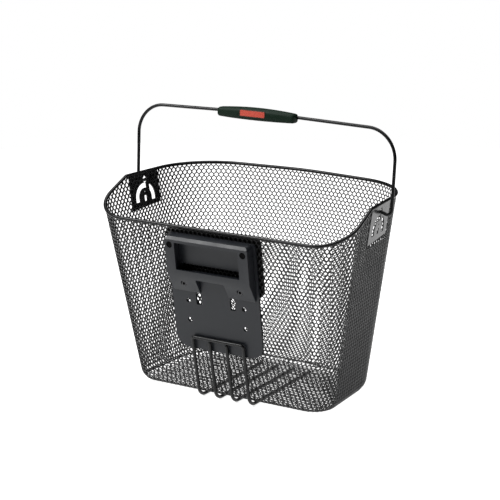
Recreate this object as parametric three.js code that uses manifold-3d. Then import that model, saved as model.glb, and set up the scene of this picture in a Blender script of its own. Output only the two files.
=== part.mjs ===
// A handlebar basket: an expanded-metal basket with a wire rim and wire skids, a swinging wire
// handle hooked into two side plates, and a plastic adapter on the rear wall that clicks onto a
// bicycle's handlebar bracket. Millimetres, +Z up, +X to the rider's right, -Y towards the rider.
import * as THREE from "three";
import { mergeVertices } from "three/addons/utils/BufferGeometryUtils.js";
import Module from "manifold-3d";

const wasm = await Module();
wasm.setup();

const GAP = 0.3; // between pieces that touch on the real object

// Basket body. The floor outline lies at height 0 and the full outline at FULL_HEIGHT.
const FULL_HEIGHT = 237;
const FLOOR = { rearHalf: 130.4, rearY: 0, frontHalf: 124.2, frontY: 143.9, bow: 15.2 };
const FLOOR_RADII = { rear: 28.7, front: 59.1, apex: 200 };
const TOP = { rearHalf: 172, rearY: -33.6, frontHalf: 152, frontY: 166.7, bow: 15.5 };
const TOP_RADII = { rear: 39.2, front: 80.2, apex: 250 };
const REAR_RIM_HEIGHT = 205.2;
const RIM_RISE_END_Y = 40; // where the rim, rising from the rear, reaches its full height
const SHEET = 1.2; // thickness of the expanded metal
const BOTTOM_RADIUS = 12; // rounding between wall and floor
const FLOOR_LIP = 4; // flat lip of the wall's sheet under the basket
const RIM_WIRE_RADIUS = 2;
const CORNER_STEPS = 8;
const BOW_STEPS = 4;
const REAR_STEPS = 4;
const SIDE_STEPS = 10;
const FRONT_STEPS = 3;

// Rear wall lean, from the two outlines
const LEAN = Math.atan2(FLOOR.rearY - TOP.rearY, FULL_HEIGHT);

// Side plates
const PLATE_CENTRE_Y = 69.4;
const PLATE_CENTRE_Z = 215.5;
const PLATE_THICK = 1.4;
const PLATE = { near: -26.3, far: 26.7, top: 19.1, nearBottom: -22.2, farBottom: -18.6 };
const ARCH = { outer: 17.5, inner: 11, foot: -13.5, outerSpring: -9, innerSpring: -8.5 };
const ARCH_BRIDGE = { from: 3.2, to: 8.6 };
const TONGUE_SLOT = { half: 2.1, bottom: -13.7, top: -6.6 };
const RIVET_HOLE = { w: -2.2, radius: 0.9 };

// Handle. PIVOT is where its hooked ends pass through the side plates.
const PIVOT = { x: 158.5, y: 71.4, z: 227.7 };
const HANDLE_LEAN = THREE.MathUtils.degToRad(4.2); // its stored position leans forwards
const HANDLE_FORWARD = 3.9; // its legs hang this far in front of the pivot line
const HANDLE_WIRE_RADIUS = 1.9;
const EYE_RADIUS = 3.6;
const EYE_PEAK = 5.6; // the hook's hole is a teardrop, and this is its peak above the pivot
const HANDLE_MIDDLE = 94.7; // height of the bar in its middle
const HANDLE_CORNERS = [
  { x: 172.2, z: 90.9, radius: 34.9 },
  { x: 171, z: -5.5, radius: 4.7 },
];
const HANDLE_TIP = { x: 155, y: -5, z: 1.6 };
const HANDLE_MIDDLE_RADIUS = 1500;

// Grip, measured from the handle wire, which runs through its upper rear part
const GRIP = { centre: -4.9, half: 50.8 };
const GRIP_END = { top: 4.3, bottom: -6.4, front: -10.4, back: 3.2 };
const GRIP_MIDDLE = { top: 6.2, bottom: -8.3, front: -13, back: 3.8 };
const GRIP_STATIONS = 12;
const LABEL = { centre: -6.2, half: 16.2, middle: -0.3, height: 6.4, thick: 1.4, proud: 0.1 };

// Adapter. Its frame lies on the rear wall: x across, y inwards, z up along the wall.
const BASE = { half: 58, bottom: 60, top: 200, thick: 3, radius: 17, topRadius: 4 };
const HOUSING = { half: 54.5, bottom: 131.5, top: 200, front: 15, apronTop: 156, radius: 5 };
const CAVITY = { half: 43.5, bottom: 155.5, top: 197, frontWall: 2.4 };
const WINDOW = { half: 42, bottom: 161, top: 193.7 };
const SOCKET_SLOT = { half: 41, bottom: 156.5, top: 165 };
const NOTCH = { half: 19, top: 150.5 };
const COUNTER = { half: 62.5, bottom: 134, top: 204.2, thick: 3, chamfer: 6, topChamfer: 4 };
const SLOT = { x: 22.8, half: 3.3, bottom: 116, top: 131 };
const BOLT_HOLE = { x: 37.2, rows: [95.2, 119.6], radius: 2.5 };
const SCREW = { x: 37.3, z: 142.4, shaft: 1.6, head: 3.4, headThick: 2.2, seat: 6.4, inside: 6 };
const BUFFER = { x: 48.3, z: 190.6, radius: 3.6, deep: 5, recess: 0.4 };

// Wire bracket under and behind the basket
const SKID_RADIUS = 2;
const SKID = { outerX: 34, innerX: 11.3, frontY: 140, barUp: 75.3, barOut: 6.6 };
const SKID_BENDS = { bottom: 14, bar: 4 };

const SIDES = [
  { name: "left", sign: -1 },
  { name: "right", sign: 1 },
];

const paint = () => new THREE.MeshStandardMaterial({ color: 0x17181a, roughness: 0.45, metalness: 0.4 });
const wirePaint = () => new THREE.MeshStandardMaterial({ color: 0x1b1d1f, roughness: 0.35, metalness: 0.5 });
const greyPlastic = () => new THREE.MeshStandardMaterial({ color: 0x3c3d40, roughness: 0.55, metalness: 0 });
const blackPlastic = () => new THREE.MeshStandardMaterial({ color: 0x121314, roughness: 0.6, metalness: 0 });
const gripPlastic = () => new THREE.MeshStandardMaterial({ color: 0x1d2824, roughness: 0.5, metalness: 0 });
const redInlay = () => new THREE.MeshStandardMaterial({ color: 0xc8372b, roughness: 0.4, metalness: 0 });
const rubber = () => new THREE.MeshStandardMaterial({ color: 0x0b0b0c, roughness: 0.8, metalness: 0 });
const screwSteel = () => new THREE.MeshStandardMaterial({ color: 0x2a2a2c, roughness: 0.4, metalness: 0.9 });

// ---- joining and cutting ----

function bare(geometry) {
  const positionsOnly = new THREE.BufferGeometry();
  positionsOnly.setAttribute("position", geometry.getAttribute("position"));
  if (geometry.index) positionsOnly.setIndex(geometry.index);
  return mergeVertices(positionsOnly, 1e-4);
}

function solid(geometry) {
  const merged = bare(geometry);
  return new wasm.Manifold(
    new wasm.Mesh({
      numProp: 3,
      vertProperties: merged.attributes.position.array,
      triVerts: new Uint32Array(merged.index.array),
    }),
  );
}

function geometryOf(body) {
  const made = body.getMesh();
  const geometry = new THREE.BufferGeometry();
  geometry.setAttribute("position", new THREE.BufferAttribute(new Float32Array(made.vertProperties), 3));
  geometry.setIndex(new THREE.BufferAttribute(new Uint32Array(made.triVerts), 1));
  return geometry;
}

function cut(geometry, tools) {
  let body = solid(geometry);
  for (const tool of tools) body = body.subtract(solid(tool));
  return geometryOf(body);
}

function trimTo(geometry, tool) {
  return geometryOf(solid(geometry).intersect(solid(tool)));
}

// ---- shapes shared by several pieces ----

function box(x0, x1, y0, y1, z0, z1) {
  const geometry = new THREE.BoxGeometry(x1 - x0, y1 - y0, z1 - z0);
  return geometry.translate((x0 + x1) / 2, (y0 + y1) / 2, (z0 + z1) / 2);
}

// Turns a prism drawn in x and y and extruded along z: drawn x becomes y, drawn y becomes z.
const ONTO_SIDE = new THREE.Matrix4().makeBasis(
  new THREE.Vector3(0, 1, 0),
  new THREE.Vector3(0, 0, 1),
  new THREE.Vector3(1, 0, 0),
);

// A prism of a side profile, centred across x
function sidePrism(shape, wide, steps = 8) {
  const settings = { depth: wide, bevelEnabled: false, curveSegments: steps };
  return new THREE.ExtrudeGeometry(shape, settings).translate(0, 0, -wide / 2).applyMatrix4(ONTO_SIDE);
}

// A cylinder along Y
function rodY(x, z, radius, y0, y1, sides = 20) {
  const geometry = new THREE.CylinderGeometry(radius, radius, y1 - y0, sides);
  return geometry.translate(x, (y0 + y1) / 2, z);
}

// A shape drawn in x and z, given thickness along y
function panel(shape, y0, y1, steps = 6) {
  const geometry = new THREE.ExtrudeGeometry(shape, {
    depth: y1 - y0,
    bevelEnabled: false,
    curveSegments: steps,
  });
  return geometry.rotateX(Math.PI / 2).translate(0, y1, 0);
}

// A rectangle with its own radius at each corner: bottom left, bottom right, top right, top left
function roundedRectangle(x0, x1, z0, z1, radii) {
  const [bottomLeft, bottomRight, topRight, topLeft] = radii;
  const shape = new THREE.Shape();
  shape.moveTo(x0 + bottomLeft, z0);
  shape.lineTo(x1 - bottomRight, z0);
  shape.absarc(x1 - bottomRight, z0 + bottomRight, bottomRight, -Math.PI / 2, 0, false);
  shape.lineTo(x1, z1 - topRight);
  shape.absarc(x1 - topRight, z1 - topRight, topRight, 0, Math.PI / 2, false);
  shape.lineTo(x0 + topLeft, z1);
  shape.absarc(x0 + topLeft, z1 - topLeft, topLeft, Math.PI / 2, Math.PI, false);
  shape.lineTo(x0, z0 + bottomLeft);
  shape.absarc(x0 + bottomLeft, z0 + bottomLeft, bottomLeft, Math.PI, 1.5 * Math.PI, false);
  return shape;
}

// A wire's centre line through its stations. One step of the curve is one station.
class BentWire extends THREE.Curve {
  constructor(stations) {
    super();
    this.stations = stations;
  }
  getPoint(t, target = new THREE.Vector3()) {
    const last = this.stations.length - 1;
    const place = Math.min(Math.max(t, 0), 1) * last;
    const index = Math.min(Math.floor(place), last - 1);
    return target.lerpVectors(this.stations[index], this.stations[index + 1], place - index);
  }
  getUtoTmapping(u) {
    return u;
  }
}

// Corner points and bend radii become straight runs and arcs.
function bendStations(corners, radii, degreesPerStep = 15) {
  const stations = [corners[0].clone()];
  for (let i = 1; i < corners.length - 1; i += 1) {
    const back = corners[i - 1].clone().sub(corners[i]).normalize();
    const on = corners[i + 1].clone().sub(corners[i]).normalize();
    const opening = back.angleTo(on);
    const turn = Math.PI - opening;
    const middle = back.clone().add(on).normalize();
    const centre = corners[i].clone().addScaledVector(middle, radii[i - 1] / Math.sin(opening / 2));
    const steps = Math.max(3, Math.ceil(THREE.MathUtils.radToDeg(turn) / degreesPerStep));
    const across = back.clone().sub(on).normalize();
    for (let k = 0; k <= steps; k += 1) {
      const angle = turn * (k / steps - 0.5);
      const arm = middle.clone().multiplyScalar(-Math.cos(angle)).addScaledVector(across, -Math.sin(angle));
      stations.push(centre.clone().addScaledVector(arm, radii[i - 1]));
    }
  }
  stations.push(corners[corners.length - 1].clone());
  return stations;
}

function wireShape(radius, sides) {
  const shape = new THREE.Shape();
  for (let i = 0; i < sides; i += 1) {
    const angle = ((i + 0.5) / sides) * 2 * Math.PI;
    const method = i === 0 ? "moveTo" : "lineTo";
    shape[method](radius * Math.cos(angle), radius * Math.sin(angle));
  }
  return shape;
}

function bentWire(corners, bendRadii, radius, sides = 8) {
  const stations = bendStations(corners, bendRadii);
  return new THREE.ExtrudeGeometry(wireShape(radius, sides), {
    extrudePath: new BentWire(stations),
    steps: stations.length - 1,
    bevelEnabled: false,
  });
}

// Rows of points, closed along the rows and from the last row to the first
function closedGrid(rows) {
  const columns = rows[0].length;
  const positions = rows.flat().flatMap((point) => [point.x, point.y, point.z]);
  const index = [];
  for (let r = 0; r < rows.length; r += 1) {
    const next = (r + 1) % rows.length;
    for (let c = 0; c < columns; c += 1) {
      const right = (c + 1) % columns;
      const [a, b] = [r * columns + c, r * columns + right];
      const [d, e] = [next * columns + c, next * columns + right];
      index.push(a, b, e, a, e, d);
    }
  }
  const geometry = new THREE.BufferGeometry();
  geometry.setAttribute("position", new THREE.Float32BufferAttribute(positions, 3));
  geometry.setIndex(index);
  return geometry;
}

// ---- basket outlines ----

function arcPoints(before, corner, after, radius, steps) {
  const back = before.clone().sub(corner).normalize();
  const on = after.clone().sub(corner).normalize();
  const opening = Math.acos(THREE.MathUtils.clamp(back.dot(on), -1, 1));
  const middle = back.clone().add(on).normalize();
  const centre = corner.clone().addScaledVector(middle, radius / Math.sin(opening / 2));
  const start = corner.clone().addScaledVector(back, radius / Math.tan(opening / 2)).sub(centre);
  const points = [];
  for (let k = 0; k <= steps; k += 1) {
    const turned = start.clone().rotateAround(new THREE.Vector2(), ((Math.PI - opening) * k) / steps);
    points.push(centre.clone().add(turned));
  }
  return points;
}

// Five rounded corners joined by straight runs: two at the rear, two at the front, one at the bow
function outline(plan, radii) {
  const corners = [
    new THREE.Vector2(-plan.rearHalf, plan.rearY),
    new THREE.Vector2(plan.rearHalf, plan.rearY),
    new THREE.Vector2(plan.frontHalf, plan.frontY),
    new THREE.Vector2(0, plan.frontY + plan.bow),
    new THREE.Vector2(-plan.frontHalf, plan.frontY),
  ];
  const cornerRadii = [radii.rear, radii.rear, radii.front, radii.apex, radii.front];
  const arcSteps = [CORNER_STEPS, CORNER_STEPS, CORNER_STEPS, BOW_STEPS, CORNER_STEPS];
  const runSteps = [REAR_STEPS, SIDE_STEPS, FRONT_STEPS, FRONT_STEPS, SIDE_STEPS];
  const count = corners.length;
  const arcs = corners.map((corner, i) => {
    const before = corners[(i + count - 1) % count];
    const after = corners[(i + 1) % count];
    return arcPoints(before, corner, after, cornerRadii[i], arcSteps[i]);
  });
  const points = [];
  arcs.forEach((arc, i) => {
    points.push(...arc);
    const from = arc[arc.length - 1];
    const to = arcs[(i + 1) % count][0];
    for (let k = 1; k < runSteps[i]; k += 1) points.push(from.clone().lerp(to, k / runSteps[i]));
  });
  return points;
}

const floorOutline = outline(FLOOR, FLOOR_RADII);
const topOutline = outline(TOP, TOP_RADII);

function rimHeight(topY) {
  const rise = THREE.MathUtils.clamp((topY - TOP.rearY) / (RIM_RISE_END_Y - TOP.rearY), 0, 1);
  return THREE.MathUtils.lerp(REAR_RIM_HEIGHT, FULL_HEIGHT, rise);
}

// Outward direction, level, at each point of the floor outline
function outwardAt(i) {
  const count = floorOutline.length;
  const along = floorOutline[(i + 1) % count].clone().sub(floorOutline[(i + count - 1) % count]);
  return new THREE.Vector2(along.y, -along.x).normalize();
}

// A point of the wall's outer face at one outline station and height, moved inwards by inset
function wallPoint(i, height, inset) {
  const place = floorOutline[i].clone().lerp(topOutline[i], height / FULL_HEIGHT);
  place.addScaledVector(outwardAt(i), -inset);
  return new THREE.Vector3(place.x, place.y, height);
}

const stationIndexes = floorOutline.map((_, i) => i);

function basketWall() {
  const roundSteps = 4;
  const profile = (i) => {
    const top = rimHeight(topOutline[i].y) - RIM_WIRE_RADIUS - GAP;
    const outer = [wallPoint(i, top, 0), wallPoint(i, FULL_HEIGHT / 2, 0)];
    const inner = [wallPoint(i, top, SHEET), wallPoint(i, FULL_HEIGHT / 2, SHEET)];
    for (let k = 0; k <= roundSteps; k += 1) {
      const turn = (k / roundSteps) * (Math.PI / 2);
      const [across, down] = [Math.cos(turn), Math.sin(turn)];
      const innerRadius = BOTTOM_RADIUS - SHEET;
      outer.push(wallPoint(i, BOTTOM_RADIUS * (1 - down), BOTTOM_RADIUS * (1 - across)));
      inner.push(wallPoint(i, BOTTOM_RADIUS - innerRadius * down, BOTTOM_RADIUS - innerRadius * across));
    }
    outer.push(wallPoint(i, 0, BOTTOM_RADIUS + FLOOR_LIP));
    inner.push(wallPoint(i, SHEET, BOTTOM_RADIUS + FLOOR_LIP));
    return [...outer, ...inner.reverse()];
  };
  const shell = closedGrid(stationIndexes.map(profile));
  const windows = SIDES.map(({ sign }) => sidePlateBlank(sign, GAP, 8));
  const screwHoles = shaftHoles(-3, 3).map(onRearWall);
  return cut(shell, [...windows, ...screwHoles]);
}

function basketFloor() {
  const shape = new THREE.Shape(
    stationIndexes.map((i) => {
      const edge = wallPoint(i, 0, BOTTOM_RADIUS + FLOOR_LIP + GAP);
      return new THREE.Vector2(edge.x, edge.y);
    }),
  );
  return new THREE.ExtrudeGeometry(shape, { depth: SHEET, bevelEnabled: false });
}

function rimWire() {
  const sides = 8;
  const centres = stationIndexes.map((i) => wallPoint(i, rimHeight(topOutline[i].y), SHEET / 2));
  const count = centres.length;
  const rows = centres.map((centre, i) => {
    const along = centres[(i + 1) % count].clone().sub(centres[(i + count - 1) % count]).normalize();
    const across = new THREE.Vector3().crossVectors(along, new THREE.Vector3(0, 0, 1)).normalize();
    const up = new THREE.Vector3().crossVectors(across, along);
    return Array.from({ length: sides }, (_, k) => {
      const angle = ((k + 0.5) / sides) * 2 * Math.PI;
      return centre
        .clone()
        .addScaledVector(across, RIM_WIRE_RADIUS * Math.cos(angle))
        .addScaledVector(up, -RIM_WIRE_RADIUS * Math.sin(angle));
    });
  });
  return closedGrid(rows);
}

// ---- side plates ----

// A matrix from the plate's own frame (x out of the basket, y forwards, z up) to the right side wall
function sidePlateFrame() {
  const from = 2 * CORNER_STEPS + REAR_STEPS; // the right side's first station
  const at = (y, height) => {
    const start = wallPoint(from, height, SHEET / 2);
    const end = wallPoint(from + SIDE_STEPS, height, SHEET / 2);
    return start.clone().lerp(end, (y - start.y) / (end.y - start.y));
  };
  const centre = at(PLATE_CENTRE_Y, PLATE_CENTRE_Z);
  const forward = at(PLATE_CENTRE_Y + 20, PLATE_CENTRE_Z).sub(centre).normalize();
  const upHint = at(PLATE_CENTRE_Y, PLATE_CENTRE_Z + 20).sub(centre);
  const out = new THREE.Vector3().crossVectors(forward, upHint).normalize();
  const up = new THREE.Vector3().crossVectors(out, forward);
  return new THREE.Matrix4().makeBasis(out, forward, up).setPosition(centre);
}

function plateOutline(grow) {
  return new THREE.Shape([
    new THREE.Vector2(PLATE.near - grow, PLATE.nearBottom - grow),
    new THREE.Vector2(PLATE.far + grow, PLATE.farBottom - grow),
    new THREE.Vector2(PLATE.far + grow, PLATE.top + grow),
    new THREE.Vector2(PLATE.near - grow, PLATE.top + grow),
  ]);
}

function placeOnSide(geometry, sign) {
  geometry.applyMatrix4(sidePlateFrame());
  if (sign > 0) return geometry;
  return geometryOf(solid(geometry).mirror([1, 0, 0]));
}

function sidePlateBlank(sign, grow, thick) {
  return placeOnSide(sidePrism(plateOutline(grow), thick), sign);
}

// The arch-shaped gap round the tongue
function archGap() {
  const gap = new THREE.Shape();
  gap.moveTo(-ARCH.outer, ARCH.foot);
  gap.lineTo(-ARCH.inner, ARCH.foot);
  gap.lineTo(-ARCH.inner, ARCH.innerSpring);
  gap.absarc(0, ARCH.innerSpring, ARCH.inner, Math.PI, 0, true);
  gap.lineTo(ARCH.inner, ARCH.foot);
  gap.lineTo(ARCH.outer, ARCH.foot);
  gap.lineTo(ARCH.outer, ARCH.outerSpring);
  gap.absarc(0, ARCH.outerSpring, ARCH.outer, 0, Math.PI, false);
  return gap;
}

// The teardrop hole for the handle's hook, in the plate's frame
function eyeShape() {
  const local = new THREE.Vector3(PIVOT.x, PIVOT.y, PIVOT.z).applyMatrix4(sidePlateFrame().invert());
  const eye = new THREE.Shape();
  const shoulder = THREE.MathUtils.degToRad(40);
  eye.absarc(local.y, local.z, EYE_RADIUS, shoulder, Math.PI - shoulder, true);
  eye.lineTo(local.y, local.z + EYE_PEAK);
  return eye;
}

function sidePlate(sign) {
  const blank = sidePrism(plateOutline(0), PLATE_THICK);
  const through = 3 * PLATE_THICK;
  const bridge = sidePrism(
    roundedRectangle(ARCH_BRIDGE.from, ARCH_BRIDGE.to, ARCH.innerSpring, PLATE.top, [0.1, 0.1, 0.1, 0.1]),
    2 * through,
  );
  const { half, bottom, top } = TONGUE_SLOT;
  const slot = roundedRectangle(-half, half, bottom, top, [1, 1, 1, 1]);
  const rivetHole = new THREE.Shape().absarc(0, RIVET_HOLE.w, RIVET_HOLE.radius, 0, 2 * Math.PI, false);
  const plate = cut(blank, [
    cut(sidePrism(archGap(), through), [bridge]),
    sidePrism(slot, through, 3),
    sidePrism(rivetHole, through, 3),
    sidePrism(eyeShape(), through),
  ]);
  return placeOnSide(plate, sign);
}

// ---- handle ----

// Handle pieces are drawn in the plane of its legs, with the pivot line at z = 0: x across, z along the legs.
function handleWire() {
  const half = [...HANDLE_CORNERS, HANDLE_TIP].map(({ x, y = 0, z }) => new THREE.Vector3(x, y, z));
  const otherHalf = half.map(({ x, y, z }) => new THREE.Vector3(-x, y, z)).reverse();
  const corners = [...otherHalf, new THREE.Vector3(0, 0, HANDLE_MIDDLE), ...half];
  const bends = HANDLE_CORNERS.map(({ radius }) => radius);
  return bentWire(corners, [...bends.toReversed(), HANDLE_MIDDLE_RADIUS, ...bends], HANDLE_WIRE_RADIUS);
}

// Height of the handle wire's centre line at a distance from its middle
function barHeight(x) {
  const shoulder = HANDLE_CORNERS[0];
  const slope = (HANDLE_MIDDLE - shoulder.z) / shoulder.x;
  const reach = HANDLE_MIDDLE_RADIUS * Math.sin(Math.atan(slope));
  const straight = HANDLE_MIDDLE - slope * Math.abs(x);
  if (Math.abs(x) >= reach) return straight;
  return HANDLE_MIDDLE - slope * reach + (reach ** 2 - x ** 2) / (2 * HANDLE_MIDDLE_RADIUS);
}

// The grip is a moulded sleeve, fullest in the middle, with its front face flattened.
function handleGrip() {
  const around = 16;
  const bore = HANDLE_WIRE_RADIUS + GAP;
  const outer = [];
  const inner = [];
  for (let i = 0; i <= GRIP_STATIONS; i += 1) {
    const share = (2 * i) / GRIP_STATIONS - 1;
    const x = GRIP.centre + share * GRIP.half;
    const size = (key) => THREE.MathUtils.lerp(GRIP_END[key], GRIP_MIDDLE[key], 1 - share ** 2);
    const [top, bottom, front, back] = ["top", "bottom", "front", "back"].map(size);
    const squared = (value) => Math.sign(value) * Math.abs(value) ** 0.7;
    const section = (y0, y1, z0, z1, bend) =>
      Array.from({ length: around }, (_, k) => {
        const angle = (k / around) * 2 * Math.PI;
        const y = (y0 + y1) / 2 + ((y1 - y0) / 2) * bend(Math.cos(angle));
        const z = (z0 + z1) / 2 + ((z1 - z0) / 2) * bend(Math.sin(angle));
        return new THREE.Vector3(x, y, barHeight(x) + z);
      });
    outer.push(section(front, back, bottom, top, squared));
    inner.push(section(-bore, bore, -bore, bore, (value) => value));
  }
  const sleeve = closedGrid([...outer, ...inner.reverse()]);
  return cut(sleeve, [inlayBlock(GAP, LABEL.thick)]);
}

// The inlay set into the grip's front face, or its pocket: grown on every side and open to the front
function inlayBlock(grow, open) {
  const middle = barHeight(LABEL.centre) + LABEL.middle;
  const front = GRIP_MIDDLE.front - LABEL.proud;
  const [wide, tall] = [LABEL.half + grow, LABEL.height / 2 + grow];
  const back = front + LABEL.thick + grow;
  return box(LABEL.centre - wide, LABEL.centre + wide, front - open, back, middle - tall, middle + tall);
}

// ---- adapter on the rear wall ----

function onRearWall(geometry) {
  return geometry.rotateX(LEAN);
}

// Distance out from the wall is towards -y, so a layer runs from -outer to -inner.
function layer(shape, inner, outer) {
  return panel(shape, -outer, -inner);
}

function shaftHoles(from, to) {
  return SIDES.map(({ sign }) => rodY(sign * SCREW.x, SCREW.z, SCREW.shaft + GAP, from, to, 12));
}

function basePlate() {
  const { half, bottom, top, radius, topRadius, thick } = BASE;
  const shape = roundedRectangle(-half, half, bottom, top, [radius, radius, topRadius, topRadius]);
  const blank = layer(shape, GAP, GAP + thick);
  const tools = [box(-SOCKET_SLOT.half, SOCKET_SLOT.half, -9, 9, SOCKET_SLOT.bottom, SOCKET_SLOT.top)];
  for (const { sign } of SIDES) {
    tools.push(box(sign * SLOT.x - SLOT.half, sign * SLOT.x + SLOT.half, -9, 9, SLOT.bottom, SLOT.top));
    for (const row of BOLT_HOLE.rows) tools.push(rodY(sign * BOLT_HOLE.x, row, BOLT_HOLE.radius, -9, 9, 16));
  }
  return cut(blank, [...tools, ...shaftHoles(-9, 9)]);
}

function adapterHousing() {
  const { half, bottom, top, front, apronTop, radius } = HOUSING;
  const back = BASE.thick + 2 * GAP;
  const side = new THREE.Shape([
    new THREE.Vector2(-back, bottom),
    new THREE.Vector2(-back, top),
    new THREE.Vector2(-front, top),
    new THREE.Vector2(-front, apronTop),
    new THREE.Vector2(-back - 1, bottom),
  ]);
  const block = sidePrism(side, 2 * half);
  const face = layer(roundedRectangle(-half, half, bottom, top, [2, 2, radius, radius]), 0, front + 1);
  const tools = [
    box(-WINDOW.half, WINDOW.half, -front - 1, 0, WINDOW.bottom, WINDOW.top),
    box(-CAVITY.half, CAVITY.half, -front + CAVITY.frontWall, 0, CAVITY.bottom, CAVITY.top),
    box(-NOTCH.half, NOTCH.half, -front - 1, 0, bottom - 1, NOTCH.top),
    ...shaftHoles(-front - 1, 0),
  ];
  for (const { sign } of SIDES) {
    tools.push(rodY(sign * SCREW.x, SCREW.z, SCREW.head + GAP, -front - 1, -SCREW.seat));
    tools.push(rodY(sign * BUFFER.x, BUFFER.z, BUFFER.radius + GAP, -front - 1, -front + BUFFER.deep));
  }
  return cut(trimTo(block, face), tools);
}

function counterPlate() {
  const { half, bottom, top, thick, chamfer, topChamfer } = COUNTER;
  const shape = new THREE.Shape([
    new THREE.Vector2(-half + chamfer, bottom),
    new THREE.Vector2(half - chamfer, bottom),
    new THREE.Vector2(half, bottom + chamfer),
    new THREE.Vector2(half, top - topChamfer),
    new THREE.Vector2(half - topChamfer, top),
    new THREE.Vector2(-half + topChamfer, top),
    new THREE.Vector2(-half, top - topChamfer),
    new THREE.Vector2(-half, bottom + chamfer),
  ]);
  const inner = SHEET + GAP;
  return cut(panel(shape, inner, inner + thick), shaftHoles(-9, 9));
}

function housingScrew(sign) {
  const seat = -SCREW.seat - GAP;
  const profile = [
    new THREE.Vector2(0, seat - SCREW.headThick),
    new THREE.Vector2(SCREW.head - 0.6, seat - SCREW.headThick),
    new THREE.Vector2(SCREW.head, seat - SCREW.headThick + 0.6),
    new THREE.Vector2(SCREW.head, seat),
    new THREE.Vector2(SCREW.shaft, seat),
    new THREE.Vector2(SCREW.shaft, SCREW.inside - 1),
    new THREE.Vector2(SCREW.shaft / 2, SCREW.inside),
    new THREE.Vector2(0, SCREW.inside),
  ];
  return new THREE.LatheGeometry(profile, 12).translate(sign * SCREW.x, 0, SCREW.z);
}

function rubberBuffer(sign) {
  const front = -HOUSING.front + BUFFER.recess;
  return rodY(sign * BUFFER.x, BUFFER.z, BUFFER.radius, front, -HOUSING.front + BUFFER.deep - GAP, 16);
}

// ---- wire bracket and skids ----

function skidPoints(x) {
  const under = -GAP - SKID_RADIUS;
  const top = new THREE.Vector3(x, -SKID.barOut, SKID.barUp).applyAxisAngle(new THREE.Vector3(1, 0, 0), LEAN);
  return {
    front: new THREE.Vector3(x, SKID.frontY, under),
    corner: new THREE.Vector3(x, -GAP - SKID_RADIUS, under),
    top,
  };
}

function outerSkid() {
  const left = skidPoints(-SKID.outerX);
  const right = skidPoints(SKID.outerX);
  const corners = [left.front, left.corner, left.top, right.top, right.corner, right.front];
  const { bottom, bar } = SKID_BENDS;
  return bentWire(corners, [bottom, bar, bar, bottom], SKID_RADIUS);
}

function innerSkid(sign) {
  const points = skidPoints(sign * SKID.innerX);
  const below = points.corner.clone().sub(points.top).normalize();
  const end = points.top.clone().addScaledVector(below, SKID_RADIUS + GAP);
  return bentWire([points.front, points.corner, end], [SKID_BENDS.bottom], SKID_RADIUS);
}

// ---- assembly ----

const basket = new THREE.Group();

function add(parent, name, geometry, material) {
  const mesh = new THREE.Mesh(geometry, material);
  mesh.name = name;
  parent.add(mesh);
}

add(basket, "basket_wall", basketWall(), paint());
add(basket, "basket_floor", basketFloor(), paint());
add(basket, "rim_wire", rimWire(), wirePaint());
add(basket, "skid_frame_wire", outerSkid(), wirePaint());

const adapter = new THREE.Group();
adapter.rotation.x = LEAN;
add(adapter, "adapter_base_plate", basePlate(), greyPlastic());
add(adapter, "adapter_housing", adapterHousing(), greyPlastic());
add(adapter, "counter_plate", counterPlate(), blackPlastic());

const handle = new THREE.Group();
handle.position.set(0, PIVOT.y, PIVOT.z);
handle.rotation.x = -HANDLE_LEAN;
handle.translateY(HANDLE_FORWARD);
add(handle, "handle_wire", handleWire(), wirePaint());
add(handle, "handle_grip", handleGrip(), gripPlastic());
add(handle, "grip_inlay", inlayBlock(0, 0), redInlay());

for (const { name, sign } of SIDES) {
  add(basket, `side_plate_${name}`, sidePlate(sign), paint());
  add(basket, `skid_wire_${name}`, innerSkid(sign), wirePaint());
  add(adapter, `housing_screw_${name}`, housingScrew(sign), screwSteel());
  add(adapter, `rubber_buffer_${name}`, rubberBuffer(sign), rubber());
}
basket.add(adapter, handle);

// The origin is the middle of the underside of the whole object.
const extent = new THREE.Box3().setFromObject(basket, true);
const middle = extent.getCenter(new THREE.Vector3());
basket.position.set(-middle.x, -middle.y, -extent.min.z);

export default basket;
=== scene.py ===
"""Looks for the handlebar basket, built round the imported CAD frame.

Shapes are worked out in millimetres in the basket's own frame (rear floor line at y = 0, floor at z = 0,
rider on the -Y side) and become metres in the row frame when a mesh is made.
"""

import math

import bmesh
import bpy
import numpy as np
from mathutils import Matrix, Vector


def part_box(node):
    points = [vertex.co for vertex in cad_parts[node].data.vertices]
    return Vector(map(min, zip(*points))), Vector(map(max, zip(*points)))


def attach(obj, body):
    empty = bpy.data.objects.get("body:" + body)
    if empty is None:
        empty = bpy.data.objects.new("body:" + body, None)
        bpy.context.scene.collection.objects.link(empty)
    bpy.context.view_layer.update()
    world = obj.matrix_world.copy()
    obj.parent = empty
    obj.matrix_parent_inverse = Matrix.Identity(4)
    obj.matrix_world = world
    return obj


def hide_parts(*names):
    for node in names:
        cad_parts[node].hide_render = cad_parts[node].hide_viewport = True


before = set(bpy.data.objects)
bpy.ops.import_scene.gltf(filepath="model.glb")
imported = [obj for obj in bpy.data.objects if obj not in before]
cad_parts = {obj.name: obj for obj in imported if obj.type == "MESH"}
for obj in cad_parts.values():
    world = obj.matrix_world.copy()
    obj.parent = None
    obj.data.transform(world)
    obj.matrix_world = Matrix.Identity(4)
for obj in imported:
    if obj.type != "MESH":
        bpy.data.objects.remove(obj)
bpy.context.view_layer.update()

MM = 0.001
GAP = 0.3

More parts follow.
